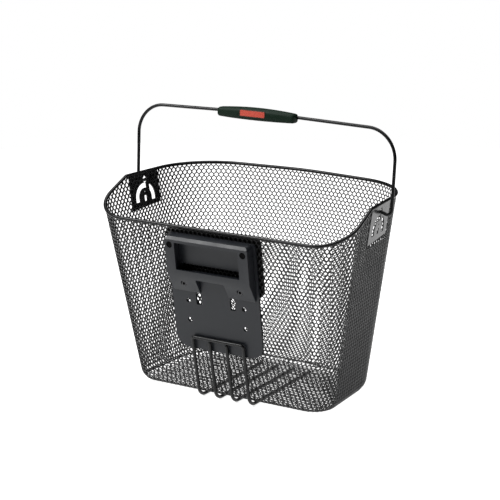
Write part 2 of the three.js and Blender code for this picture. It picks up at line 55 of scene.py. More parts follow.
# Basket body, as in the CAD model
FULL_HEIGHT = 237
FLOOR = {"rear_half": 130.4, "rear_y": 0, "front_half": 124.2, "front_y": 143.9, "bow": 15.2}
FLOOR_RADII = (28.7, 28.7, 59.1, 200, 59.1)
TOP = {"rear_half": 172, "rear_y": -33.6, "front_half": 152, "front_y": 166.7, "bow": 15.5}
TOP_RADII = (39.2, 39.2, 80.2, 250, 80.2)
REAR_RIM_HEIGHT = 205.2
RIM_RISE_END_Y = 40
SHEET = 1.2
BOTTOM_RADIUS = 12
FLOOR_LIP = 4
CORNER_STEPS = 16
LOOP_STEPS = 360  # points round the rim and the floor seam
SEARCH_STEPS = 720  # points of the floor's outline that are searched for the nearest one
LEAN = math.atan2(FLOOR["rear_y"] - TOP["rear_y"], FULL_HEIGHT)

# Expanded metal
COLUMNS = 156  # cells round the wall
HALF_COLUMN = 3.2  # on the floor, where the sheet isn't stretched
HALF_ROW = 4.4
BOND = 0.22  # half length of a bond between strands, in half rows
HOLE_WIDE = 0.765  # share of a cell that is open, across and up
HOLE_TALL = 0.775
STRAND_THICK = 0.9
STRAND_TWIST = -0.33  # how far a strand's edges lie out of the sheet, with its slant
SEAM_TURN = math.radians(48)  # where wall and floor sheets meet, round the bottom edge
SEAM_RADIUS = 1.0
RIM_WIRE_RADIUS = 2

# Side plates, in a frame with x out of the basket, y forwards and z up
PLATE_CENTRE_Y = 69.4
PLATE_CENTRE_Z = 215.5
PLATE_THICK = 1.4
PLATE_WELD = 1.8  # how far its top edge goes into the rim wire
PLATE = {"near": -26.3, "far": 26.7, "top": 19.1, "near_bottom": -22.2, "far_bottom": -18.6}
ARCH = {"outer": 17.5, "inner": 11, "foot": -13.5, "outer_spring": -9, "inner_spring": -8.5}
BRIDGE = {"from": 3.2, "to": 8.6}
TONGUE_SLOT = {"half": 2.1, "bottom": -13.7, "top": -6.6, "radius": 1}
RIVET_HOLE = {"w": -2.2, "radius": 0.9}
EYE_RADIUS = 3.6
EYE_PEAK = 5.6

# Handle, in a frame at its pivot line
PIVOT = Vector((158.5, 71.4, 227.7))
HANDLE_LEAN = math.radians(4.2)
HANDLE_FORWARD = 3.9  # its legs hang this far in front of the pivot line
HANDLE_WIRE_RADIUS = 1.9
HANDLE_MIDDLE = 94.7
HANDLE_CORNERS = [(172.2, 0, 90.9), (171, 0, -5.5), (155, -5, 1.6)]
HANDLE_BENDS = [34.9, 4.7]
HANDLE_MIDDLE_RADIUS = 1500
GRIP = {"centre": -4.9, "half": 50.8}
GRIP_END = {"top": 4.3, "bottom": -6.4, "front": -10.4, "back": 3.2}
GRIP_MIDDLE = {"top": 6.2, "bottom": -8.3, "front": -13, "back": 3.8}
GRIP_END_ROUND = {"length": 2.8, "share": 0.72}  # its end is this share of the full section
GRIP_SQUARE = {"across": 0.55, "up": 0.7}  # powers that flatten its sides; 1 is an ellipse
PARTING_LINE = 0.12
LABEL = {"centre": -6.2, "half": 16.2, "middle": -0.3, "height": 6.4, "thick": 1.4}
LABEL_FACE = {"wider": 0, "proud": 0.25, "radius": 0.8}
LABEL_FRAME = {"wider": 0.7, "proud": 0.05, "radius": 1.4}

# Adapter, in a frame on the rear wall: x across, y inwards, z up along the wall
BASE = {"half": 58, "bottom": 60, "top": 200, "thick": 3, "radius": 17, "top_radius": 4}
HOUSING = {"half": 54.5, "bottom": 131.5, "top": 200, "front": 15, "radius": 5, "foot_radius": 2}
APRON = {"top": 156, "foot": 1}  # it slopes back below its top, down to a foot this thick
TOP_SLOPE = 3  # cut off the housing's top front edge
CAVITY = {"half": 43.5, "bottom": 155.5, "top": 197, "front_wall": 2.4, "radius": 0.5}
WINDOW = {"half": 42, "bottom": 161, "top": 193.7, "radius": 1.5}
SOCKET_SLOT = {"half": 41, "bottom": 156.5, "top": 165, "radius": 1}
NOTCH = {"half": 19, "top": 150.5, "radius": 2}
COUNTER = {"half": 62.5, "bottom": 134, "top": 204.2, "thick": 3, "chamfer": 6, "top_chamfer": 4}
SLOT = {"x": 22.8, "half": 3.6, "bottom": 116, "top": 131, "radius": 1.2}
BOLT_HOLE = {"x": 37.2, "rows": (95.2, 119.6), "radius": 2.8}
SCREW = {"x": 37.3, "z": 142.4, "shaft": 1.6, "head": 3.4, "head_thick": 2.2, "seat": 6.4, "inside": 6}
SCREW_SOCKET = {"radius": 1.7, "deep": 1.5}
SCREW_THREAD = {"pitch": 1.25, "deep": 0.35}
BUFFER = {"x": 48.3, "z": 190.6, "radius": 3.6, "deep": 5, "recess": 0.4}

# Skids
SKID_RADIUS = 2
SKID = {"outer_x": 34, "inner_x": 11.3, "front_y": 140, "bar_up": 75.3, "bar_out": 6.6}
SKID_BENDS = {"bottom": 14, "bar": 2.6}

# Rounded edges
SIDE_PLATE_EDGE = 0.3
BASE_PLATE_EDGE = 0.5
PLASTIC_EDGE = 0.8  # of the housing and the counter plate
LABEL_EDGE = 0.2

# Finishes
CLOUD_SIZE = 22  # of the slow change of colour over a surface
CLOUD_SPAN = (0.35, 0.65)  # noise over which the first colour gives way to the second
WEAR_WIDTH = 0.5
WEAR_BEND = (0.995, 0.9)  # cosines of an edge's bend where wear starts and where it is full
WEAR_AMOUNT = 0.75
BREAK_SIZE = 2.5  # of the breaks in the worn edges
BREAK_SPAN = (0.4, 0.62)  # noise over which wear rises from faint to whole
BREAK_FAINT = 0.15
GRAIN_SPAN = (0.3, 1.7)  # of both noises added up, over which roughness rises

# View
CAMERA_AZIMUTH = math.radians(31.3)
CAMERA_ELEVATION = math.radians(14.8)
CAMERA_TARGET = Vector((-0.0461, 0.0604, 0.146))
CAMERA_DISTANCE = 2.0503
CAMERA_LENS = 121.6
SENSOR_WIDTH = 36
FLOOR_REACH = 1.5
FLOOR_GLOW = 0.82  # the floor is a light table, so it shows hardly any shadow
FLOOR_GREY = 0.65
ROOM_LIGHT = 0.05  # the white room's light on the object, as a share of how white it looks
LIGHTS = {
    "key": {"place": (-0.6, -0.62, 0.95), "target": (0, 0, 0.18), "size": (0.6, 0.35), "power": 12},
    "top": {"place": (-0.2, 0.1, 2.2), "target": (0, 0, 0.1), "size": (2.0, 2.0), "power": 50},
}

floor_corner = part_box("basket_floor")[0]
ORIGIN = Vector((0, floor_corner.y - (BOTTOM_RADIUS + FLOOR_LIP + GAP) * MM, floor_corner.z))


# ---- meshes ----


def new_object(name, mesh):
    made = bpy.data.objects.new(name, mesh)
    bpy.context.scene.collection.objects.link(made)
    return made


def place_on(matrix=Matrix.Identity(4)):
    """Row-frame matrix of a millimetre frame placed in the basket's frame."""
    return Matrix.Translation(ORIGIN) @ Matrix.Scale(MM, 4) @ matrix


def object_from_bmesh(name, bm, matrix=Matrix.Identity(4)):
    mesh = bpy.data.meshes.new(name)
    bm.to_mesh(mesh)
    bm.free()
    mesh.transform(place_on(matrix))
    if matrix.determinant() < 0:
        mesh.flip_normals()
    return new_object(name, mesh)


def cut_away(made, tool):
    """Cuts the tool's shape out of an object and deletes the tool."""
    cutter = made.modifiers.new("cut", "BOOLEAN")
    cutter.operation = "DIFFERENCE"
    cutter.solver = "EXACT"
    cutter.object = tool
    graph = bpy.context.evaluated_depsgraph_get()
    graph.update()
    mesh = bpy.data.meshes.new_from_object(made.evaluated_get(graph))
    made.modifiers.clear()
    made.data = mesh
    bpy.data.objects.remove(tool)


def round_edges(made, width, segments=3, angle=35):
    bevel = made.modifiers.new("rounded_edges", "BEVEL")
    bevel.width = width * MM
    bevel.segments = segments
    bevel.limit_method = "ANGLE"
    bevel.angle_limit = math.radians(angle)
    bevel.harden_normals = True
    made.data.shade_smooth()


def smooth_between_edges(made, angle):
    """Smooth shading, with sharp edges where faces meet at more than an angle in degrees."""
    made.data.shade_smooth()
    made.data.set_sharp_from_angle(angle=math.radians(angle))


def quad_object(name, points, quads):
    """A mesh from an array of points in millimetres and an array of four-cornered faces."""
    mesh = bpy.data.meshes.new(name)
    mesh.vertices.add(len(points))
    mesh.vertices.foreach_set("co", (points * MM + np.array(ORIGIN)).ravel())
    mesh.loops.add(quads.size)
    mesh.loops.foreach_set("vertex_index", quads.ravel())
    mesh.polygons.add(len(quads))
    mesh.polygons.foreach_set("loop_start", np.arange(0, quads.size, 4))
    mesh.update(calc_edges=True)
    return new_object(name, mesh)


def wire(name, points, radius, closed=False, sides=5):
    """A round wire along a line of points, with round ends when it is open."""
    curve = bpy.data.curves.new(name, "CURVE")
    curve.dimensions = "3D"
    curve.bevel_depth = radius
    curve.bevel_resolution = sides
    curve.use_fill_caps = True
    points = [Vector(p) for p in points]
    scales = [1.0] * len(points)
    if not closed:
        points, scales = round_ends(points, radius)
    spline = curve.splines.new("POLY")
    spline.points.add(len(points) - 1)
    for target, place, scale in zip(spline.points, points, scales):
        target.co = (*place, 1)
        target.radius = scale
    spline.use_cyclic_u = closed
    scratch = new_object(name + "_line", curve)
    graph = bpy.context.evaluated_depsgraph_get()
    mesh = bpy.data.meshes.new_from_object(scratch.evaluated_get(graph))
    bpy.data.objects.remove(scratch)
    mesh.name = name
    mesh.transform(place_on())
    mesh.shade_smooth()
    return new_object(name, mesh)


def round_ends(points, radius):
    """Adds stations near both ends of a wire and the share of the radius that each has."""
    turns = [math.radians(a) for a in (80, 55, 25, 0)]
    first = points[0] - points[1]
    last = points[-1] - points[-2]
    head = [points[0] + first.normalized() * radius * (math.sin(t) - 1) for t in turns]
    tail = [points[-1] + last.normalized() * radius * (math.sin(t) - 1) for t in reversed(turns)]
    shares = [math.cos(t) for t in turns]
    return head + points[1:-1] + tail, shares + [1.0] * (len(points) - 2) + shares[::-1]


def bent_line(corners, radii, degrees_per_step=6):
    """Corner points and bend radii become straight runs and arcs."""
    line = [corners[0].copy()]
    for i in range(1, len(corners) - 1):
        back = (corners[i - 1] - corners[i]).normalized()
        on = (corners[i + 1] - corners[i]).normalized()
        opening = back.angle(on)
        turn = math.pi - opening
        middle = (back + on).normalized()
        centre = corners[i] + middle * (radii[i - 1] / math.sin(opening / 2))
        across = (back - on).normalized()
        steps = max(4, math.ceil(math.degrees(turn) / degrees_per_step))
        for k in range(steps + 1):
            angle = turn * (k / steps - 0.5)
            line.append(centre - (middle * math.cos(angle) + across * math.sin(angle)) * radii[i - 1])
    line.append(corners[-1].copy())
    return line


def arc(centre, radius, start, end, steps=8):
    """Points of an arc in a plane, from one angle to another in degrees."""
    angles = np.radians(np.linspace(start, end, steps + 1))
    return [(centre[0] + radius * math.cos(a), centre[1] + radius * math.sin(a)) for a in angles]


def circle(x, z, radius, steps=24):
    return arc((x, z), radius, 0, 360 * (steps - 1) / steps, steps - 1)


def rounded_rectangle(x0, x1, z0, z1, radii, steps=6):
    """Outline with its own radius at each corner: bottom left, bottom right, top right, top left."""
    centres = [(x0, z0, 1, 1), (x1, z0, -1, 1), (x1, z1, -1, -1), (x0, z1, 1, -1)]
    points = []
    for (x, z, right, up), radius, start in zip(centres, radii, (180, 270, 0, 90)):
        points += arc((x + right * radius, z + up * radius), radius, start, start + 90, steps)
    return points


def cutout(size, steps=6, centre=0):
    """A rounded rectangular opening from its half width, bottom, top and corner radius."""
    left, right = centre - size["half"], centre + size["half"]
    return rounded_rectangle(left, right, size["bottom"], size["top"], [size["radius"]] * 4, steps)


def flat_face(loops):
    """A flat face in x and z, at y = 0, with the first loop as its outline and the others as holes."""
    bm = bmesh.new()
    edges = []
    for loop in loops:
        verts = [bm.verts.new((x, 0, z)) for x, z in loop]
        edges += [bm.edges.new(pair) for pair in zip(verts, verts[1:] + verts[:1])]
    bmesh.ops.triangle_fill(bm, use_beauty=True, use_dissolve=False, edges=edges, normal=(0, -1, 0))
    return bm


def thicken(bm, front, back):
    """Gives a flat face in x and z a thickness along y, from front to back."""
    faces = bm.faces[:]
    verts = bm.verts[:]
    rim = [edge for edge in bm.edges if edge.is_boundary]
    far = {v: bm.verts.new((v.co.x, back, v.co.z)) for v in verts}
    for v in verts:
        v.co.y = front
    for face in faces:
        if face.normal.y > 0:
            face.normal_flip()
        bm.faces.new([far[v] for v in reversed(face.verts)])
    for edge in rim:
        a, b = edge.verts
        bm.faces.new((a, b, far[b], far[a]))
    bmesh.ops.recalc_face_normals(bm, faces=bm.faces)
    return bm


def lathe(bm, profile, centre_x, centre_z, sides=32):
    """Adds a closed turned body: its profile is (radius, y) pairs from axis to axis."""
    rings = []
    for radius, y in profile:
        if radius == 0:
            rings.append([bm.verts.new((centre_x, y, centre_z))])
            continue
        rings.append([bm.verts.new((x, y, z)) for x, z in circle(centre_x, centre_z, radius, sides)])
    for low, high in zip(rings, rings[1:]):
        for k in range(sides):
            below = [low[k % len(low)], low[(k + 1) % len(low)]]
            above = [high[(k + 1) % len(high)], high[k % len(high)]]
            bm.faces.new(list(dict.fromkeys(below + above)))
    bmesh.ops.recalc_face_normals(bm, faces=bm.faces)


# ---- basket outlines ----


def unit(vector):
    return vector / np.linalg.norm(vector)


def outline(plan, radii):
    """Five rounded corners, counterclockwise from the rear left one, as an array of points."""
    corners = [
        np.array(corner, float)
        for corner in (
            (-plan["rear_half"], plan["rear_y"]),
            (plan["rear_half"], plan["rear_y"]),
            (plan["front_half"], plan["front_y"]),
            (0, plan["front_y"] + plan["bow"]),
            (-plan["front_half"], plan["front_y"]),
        )
    ]
    points = []
    for i, (corner, radius) in enumerate(zip(corners, radii)):
        back = unit(corners[i - 1] - corner)
        on = unit(corners[(i + 1) % len(corners)] - corner)
        opening = math.acos(np.clip(back @ on, -1, 1))
        centre = corner + unit(back + on) * radius / math.sin(opening / 2)
        start = corner + back * radius / math.tan(opening / 2) - centre
        for turn in np.linspace(0, math.pi - opening, CORNER_STEPS + 1):
            spin = np.array([[math.cos(turn), -math.sin(turn)], [math.sin(turn), math.cos(turn)]])
            points.append(centre + spin @ start)
    return np.array(points)


FLOOR_LINE = outline(FLOOR, FLOOR_RADII)
TOP_LINE = outline(TOP, TOP_RADII)
middle_line = (FLOOR_LINE + TOP_LINE) / 2
step_lengths = np.linalg.norm(np.roll(middle_line, -1, axis=0) - middle_line, axis=1)
STATIONS = np.concatenate([[0], np.cumsum(step_lengths)]) / step_lengths.sum()


def along(line, share):
    """Points of an outline at shares of the way round."""
    closed = np.vstack([line, line[:1]])
    return np.stack([np.interp(share % 1, STATIONS, closed[:, k]) for k in (0, 1)], axis=-1)


def outward(share):
    step = 0.0015
    ahead = along(FLOOR_LINE, share + step) - along(FLOOR_LINE, share - step)
    normal = np.stack([ahead[..., 1], -ahead[..., 0]], axis=-1)
    return normal / np.linalg.norm(normal, axis=-1, keepdims=True)


def wall_points(share, height, inset):
    """Points of the wall's outer face at heights, moved inwards by an inset."""
    share, height, inset = np.broadcast_arrays(share, height, inset)
    low = along(FLOOR_LINE, share)
    high = along(TOP_LINE, share)
    place = low + (high - low) * (height / FULL_HEIGHT)[..., None] - outward(share) * inset[..., None]
    return np.concatenate([place, height[..., None]], axis=-1)


def rim_height(share):
    rise = (along(TOP_LINE, share)[..., 1] - TOP["rear_y"]) / (RIM_RISE_END_Y - TOP["rear_y"])
    return REAR_RIM_HEIGHT + (FULL_HEIGHT - REAR_RIM_HEIGHT) * np.clip(rise, 0, 1)


# ---- expanded metal ----

CORNER_I = np.array([1, 1, 0, -1, -1, 0])
CORNER_J = np.array([-BOND, BOND, 1 - BOND, BOND, -BOND, BOND - 1])

ROUND_TRAVEL = BOTTOM_RADIUS * SEAM_TURN  # from the floor seam to the straight part of the wall


def wall_end(share):
    """Distance up the sheet at which it ends, inside the rim wire."""
    return ROUND_TRAVEL + rim_height(share) - BOTTOM_RADIUS


def wall_middle(i, j):
    """Middle of the wall's sheet at cell coordinates: half columns round and half rows up."""
    share = i / (2 * COLUMNS)
    travel = np.clip(j * HALF_ROW, 0, wall_end(share))
    turn = np.clip(SEAM_TURN - travel / BOTTOM_RADIUS, 0, None)
    reach = BOTTOM_RADIUS - SHEET / 2
    height = BOTTOM_RADIUS - reach * np.sin(turn) + np.clip(travel - ROUND_TRAVEL, 0, None)
    inset = BOTTOM_RADIUS - reach * np.cos(turn)
    return wall_points(share, height, inset)


def floor_middle(i, j):
    """Middle of the floor's sheet, which turns up at its edge to meet the wall at the seam."""
    x = i * HALF_COLUMN
    y = FLOOR["rear_y"] + j * HALF_ROW
    place = np.stack([x, y], axis=-1)
    nearest, inset = nearest_outline(place)
    seam_inset = BOTTOM_RADIUS - (BOTTOM_RADIUS - SHEET / 2) * math.cos(SEAM_TURN)
    pushed = np.clip(seam_inset - inset, 0, None)
    place = place - outline_normals[nearest] * pushed[..., None]
    inset = np.clip(inset, seam_inset, None)
    reach = BOTTOM_RADIUS - SHEET / 2
    across = np.clip((BOTTOM_RADIUS - inset) / reach, 0, 1)
    height = BOTTOM_RADIUS - reach * np.sqrt(1 - across**2)
    return np.concatenate([place, height[..., None]], axis=-1)


fine_shares = np.linspace(0, 1, SEARCH_STEPS, endpoint=False)
fine_outline = along(FLOOR_LINE, fine_shares)
outline_normals = outward(fine_shares)


def nearest_outline(place):
    """Index of the nearest outline point, and how far inside the outline each place is."""
    flat = place.reshape(-1, 2)
    distance = np.linalg.norm(flat[:, None] - fine_outline[None], axis=2)
    nearest = distance.argmin(axis=1)
    inset = -np.einsum("ij,ij->i", flat - fine_outline[nearest], outline_normals[nearest])
    return nearest.reshape(place.shape[:-1]), inset.reshape(place.shape[:-1])


def surface_point(middle, i, j, out):
    """Points a distance out from a sheet's middle surface."""
    step = 0.05
    centre = middle(i, j)
    along_i = middle(i + step, j) - middle(i - step, j)
    along_j = middle(i, j + step) - middle(i, j - step)
    normal = np.cross(along_i, along_j)
    length = np.linalg.norm(normal, axis=-1, keepdims=True)
    normal = normal / np.maximum(length, 1e-9)
    return centre + normal * np.asarray(out)[..., None]


def expanded_sheet(name, cells, middle, shape=None):
    """Expanded metal: each cell is a six-sided ring, and neighbours share their outer corners.

    cells is an array of (half column, half row) centres, and shape may move the finished points.
    """
    cells = np.asarray(cells)
    outer_i = cells[:, :1] + CORNER_I
    outer_j = cells[:, 1:] + CORNER_J
    keys = np.stack([outer_i.ravel(), np.round(outer_j.ravel(), 4)], axis=1)
    shared, corner = np.unique(keys, axis=0, return_inverse=True)
    corner = corner.reshape(-1, 6)
    hole_i = cells[:, :1] + CORNER_I * HOLE_WIDE
    hole_j = cells[:, 1:] + CORNER_J * HOLE_TALL
    slant = np.broadcast_to(CORNER_I * STRAND_TWIST, hole_i.shape)
    half = STRAND_THICK / 2
    count = len(shared)
    hole = np.arange(hole_i.size).reshape(-1, 6)
    points = np.vstack(
        [
            surface_point(middle, shared[:, 0], shared[:, 1], np.full(count, half)),
            surface_point(middle, shared[:, 0], shared[:, 1], np.full(count, -half)),
            surface_point(middle, hole_i, hole_j, slant + half).reshape(-1, 3),
            surface_point(middle, hole_i, hole_j, slant - half).reshape(-1, 3),
        ]
    )
    front, back = corner, corner + count
    hole_front, hole_back = hole + 2 * count, hole + 2 * count + hole_i.size
    turn = lambda ids: np.roll(ids, -1, axis=1)
    quads = [
        np.stack([front, turn(front), turn(hole_front), hole_front], axis=2),
        np.stack([hole_back, turn(hole_back), turn(back), back], axis=2),
        np.stack([hole_front, turn(hole_front), turn(hole_back), hole_back], axis=2),
    ]
    quads = np.concatenate([q.reshape(-1, 4) for q in quads])
    quads = np.concatenate([quads, border_faces(corner, count)])
    if shape is not None:
        points = shape(points)
    return quad_object(name, points, quads)


def border_faces(corner, count):
    """Faces that close a sheet's outer edge, where a cell has no neighbour."""
    starts = corner.ravel()
    ends = np.roll(corner, -1, axis=1).ravel()
    size = corner.max() + 1
    forward = starts.astype(np.int64) * size + ends
    backward = ends.astype(np.int64) * size + starts
    alone = ~np.isin(forward, backward)
    a, b = starts[alone], ends[alone]
    return np.stack([b, a, a + count, b + count], axis=1)


def lattice(i_from, i_to, j_from, j_to):
    """Cell centres: every second half row in each half column."""
    i, j = np.meshgrid(np.arange(i_from, i_to), np.arange(j_from, j_to), indexing="ij")
    cells = np.stack([i.ravel(), j.ravel()], axis=1)
    return cells[(cells.sum(axis=1) % 2) == 0]


# ---- side plates ----


def side_plate_frame():
    """Matrix from the plate's frame to its place on the right side wall."""
    first = STATIONS[2 * (CORNER_STEPS + 1) - 1]
    last = STATIONS[2 * (CORNER_STEPS + 1)]

    def at(y, height):
        start = Vector(wall_points(first, height, SHEET / 2))
        end = Vector(wall_points(last, height, SHEET / 2))
        return start.lerp(end, (y - start.y) / (end.y - start.y))

    step = 20  # to the points that give the wall's directions
    centre = at(PLATE_CENTRE_Y, PLATE_CENTRE_Z)
    forward = (at(PLATE_CENTRE_Y + step, PLATE_CENTRE_Z) - centre).normalized()
    out = forward.cross(at(PLATE_CENTRE_Y, PLATE_CENTRE_Z + step) - centre).normalized()
    up = out.cross(forward)
    matrix = Matrix((out, forward, up)).transposed().to_4x4()
    matrix.translation = centre
    return matrix


SIDE_FRAME = side_plate_frame()
TO_SIDE_FRAME = np.array(SIDE_FRAME.inverted())
# Flat faces are drawn in x and z with y as thickness: drawn x is forwards and drawn -y is outwards.
DRAWN_TO_SIDE = Matrix(((0, -1, 0, 0), (1, 0, 0, 0), (0, 0, 1, 0), (0, 0, 0, 1)))
MIRROR = Matrix.Scale(-1, 4, (1, 0, 0))
EYE_CENTRE = SIDE_FRAME.inverted() @ PIVOT


def in_side_frame(points):
    """Points in the nearer plate's frame: out, forwards and up."""
    mirrored = points.copy()
    mirrored[..., 0] = np.abs(mirrored[..., 0])
    return mirrored @ TO_SIDE_FRAME[:3, :3].T + TO_SIDE_FRAME[:3, 3]


def plate_openings(local):
    """Whether points in the plate's frame lie in its arch or eye, with a little room round them."""
    room = 1.0
    wall_reach = 10
    forward, up = local[..., 1], local[..., 2]
    near_wall = np.abs(local[..., 0]) < wall_reach
    reach = ARCH["outer"] + room
    in_arch = (np.abs(forward) < reach) & (up > ARCH["foot"] - room)
    in_arch &= (up < ARCH["outer_spring"]) | (np.hypot(forward, up - ARCH["outer_spring"]) < reach)
    in_eye = np.hypot(forward - EYE_CENTRE.y, up - EYE_CENTRE.z) < EYE_PEAK + room
    return near_wall & (in_arch | in_eye)


def behind_plates(points):
    """Presses the sheet inwards where a side plate lies on it."""
    local = in_side_frame(points)
    edge = 2.5  # width of the bend round a plate
    above = 1.5  # how far above the plate the sheet is still pressed
    wall_reach = 4
    pressed_share = 0.62  # of both thicknesses; half of them would just touch the plate
    depth = (PLATE_THICK + STRAND_THICK) * pressed_share
    inside = np.minimum.reduce(
        [
            local[:, 1] - PLATE["near"] + edge,
            PLATE["far"] + edge - local[:, 1],
            local[:, 2] - PLATE["near_bottom"] + edge,
            PLATE["top"] + above - local[:, 2],
        ]
    )
    press = np.clip(inside / edge, 0, 1) * (np.abs(local[:, 0]) < wall_reach) * depth
    out = np.array(SIDE_FRAME.col[0][:3])
    push = press[:, None] * out * np.where(points[:, :1] < 0, [[-1, 1, 1]], [[1, 1, 1]])
    return points - push


def wall_cells(i_from, i_to):
    tallest = int((ROUND_TRAVEL + FULL_HEIGHT) / HALF_ROW) + 2
    cells = lattice(i_from, i_to, 0, tallest)
    share = cells[:, 0] / (2 * COLUMNS)
    keep = cells[:, 1] * HALF_ROW < wall_end(share)
    cells = cells[keep]
    corners = wall_middle(cells[:, :1] + np.append(CORNER_I, 0), cells[:, 1:] + np.append(CORNER_J, 0))
    return cells[~plate_openings(in_side_frame(corners)).any(axis=1)]


def mesh_walls():
    """The wall's sheet, in one piece for each side of the basket."""
    per_corner = CORNER_STEPS + 1
    ends = [(STATIONS[k * per_corner], STATIONS[(k + 1) * per_corner - 1]) for k in (0, 1, 2, 4)]
    corner_shares = [0.5 * (start + end) for start, end in ends]
    marks = [round(share * 2 * COLUMNS) for share in corner_shares]
    marks.append(marks[0] + 2 * COLUMNS)
    pieces = []
    for name, start, end in zip(("rear", "right", "front", "left"), marks, marks[1:]):
        made = expanded_sheet("mesh_" + name, wall_cells(start, end), wall_middle, behind_plates)
        pieces.append(made)
    return pieces


def mesh_floor():
    wide = int(FLOOR["rear_half"] / HALF_COLUMN) + 1
    deep = int((FLOOR["front_y"] + FLOOR["bow"]) / HALF_ROW) + 1
    cells = lattice(-wide, wide + 1, 0, deep)
    place = np.stack([cells[:, 0] * HALF_COLUMN, cells[:, 1] * HALF_ROW], axis=1)
    _, inset = nearest_outline(place)
    least_inset = 3.5  # cells nearer the outline would be squashed flat at the seam
    return expanded_sheet("mesh_floor", cells[inset > least_inset], floor_middle)


LOOP_SHARES = np.linspace(0, 1, LOOP_STEPS, endpoint=False)


def floor_seam():
    """The joint of the wall's and floor's sheets, round the bottom edge."""
    seam = wall_middle(LOOP_SHARES * 2 * COLUMNS, np.zeros_like(LOOP_SHARES))
    return wire("floor_seam", seam, SEAM_RADIUS, closed=True)


def rim():
    line = wall_points(LOOP_SHARES, rim_height(LOOP_SHARES), SHEET / 2)
    return wire("rim", line, RIM_WIRE_RADIUS, closed=True, sides=6)


def arch_outline():
    """The arch-shaped gap round the tongue, without the bridge."""
    spring, inner_spring = ARCH["outer_spring"], ARCH["inner_spring"]
    outer = arc((0, spring), ARCH["outer"], 0, 180, 28)
    inner = arc((0, inner_spring), ARCH["inner"], 180, 0, 24)
    return outer, inner


def arch_gaps():
    """The gap's two halves, either side of the bridge from the arch's crown to the tongue."""
    outer, inner = arch_outline()
    apart = 0.2  # the arcs' points keep this far from the bridge's edges

    def crown(radius, spring, x):
        return spring + math.sqrt(radius**2 - x**2)

    def half(keep, edge):
        side = [p for p in outer if keep(p[0])]
        under = [p for p in inner if keep(p[0])]
        top = (edge, crown(ARCH["outer"], ARCH["outer_spring"], edge))
        low = (edge, crown(ARCH["inner"], ARCH["inner_spring"], edge))
        return side, under, top, low

    foot = ARCH["foot"]
    side, under, top, low = half(lambda x: x > BRIDGE["to"] + apart, BRIDGE["to"])
    front = [(ARCH["outer"], foot), *side, top, low, *under, (ARCH["inner"], foot)]
    side, under, top, low = half(lambda x: x < BRIDGE["from"] - apart, BRIDGE["from"])
    rear = [top, *side, (-ARCH["outer"], foot), (-ARCH["inner"], foot), *under, low]
    return front, rear


def eye_outline():
    """The hook's hole: a circle, open from 40 to 140 degrees, that runs up to a peak."""
    y, z = EYE_CENTRE.y, EYE_CENTRE.z
    return arc((y, z), EYE_RADIUS, 140, 400, 20) + [(y, z + EYE_PEAK)]


def side_plate(name, mirror):
    shape = [
        (PLATE["near"], PLATE["near_bottom"]),
        (PLATE["far"], PLATE["far_bottom"]),
        (PLATE["far"], PLATE["top"] + PLATE_WELD),
        (PLATE["near"], PLATE["top"] + PLATE_WELD),
    ]
    rivet = circle(0, RIVET_HOLE["w"], RIVET_HOLE["radius"], 12)
    bm = flat_face([shape, *arch_gaps(), cutout(TONGUE_SLOT, 3), rivet, eye_outline()])
    thicken(bm, -PLATE_THICK / 2, PLATE_THICK / 2)
    matrix = SIDE_FRAME @ DRAWN_TO_SIDE
    made = object_from_bmesh(name, bm, MIRROR @ matrix if mirror else matrix)
    round_edges(made, SIDE_PLATE_EDGE, 2)
    return made


# ---- adapter ----

WALL_FRAME = Matrix.Rotation(LEAN, 4, "X")


def base_plate():
    half, bottom, top = BASE["half"], BASE["bottom"], BASE["top"]
    radii = [BASE["radius"], BASE["radius"], BASE["top_radius"], BASE["top_radius"]]
    holes = [cutout(SOCKET_SLOT)]
    for sign in (-1, 1):
        holes.append(cutout(SLOT, 4, sign * SLOT["x"]))
        holes += [circle(sign * BOLT_HOLE["x"], row, BOLT_HOLE["radius"]) for row in BOLT_HOLE["rows"]]
    bm = flat_face([rounded_rectangle(-half, half, bottom, top, radii, 10), *holes])
    thicken(bm, -BASE["thick"] - GAP, -GAP)
    made = object_from_bmesh("base_plate", bm, WALL_FRAME)
    round_edges(made, BASE_PLATE_EDGE)
    return made


HOUSING_BACK = BASE["thick"] + 2 * GAP


def housing_front(z):
    """How far the housing's front is from the wall at a height: the apron slopes back below its crease."""
    if z >= APRON["top"]:
        return HOUSING["front"]
    share = (z - HOUSING["bottom"]) / (APRON["top"] - HOUSING["bottom"])
    foot = HOUSING_BACK + APRON["foot"]
    return foot + (HOUSING["front"] - foot) * share


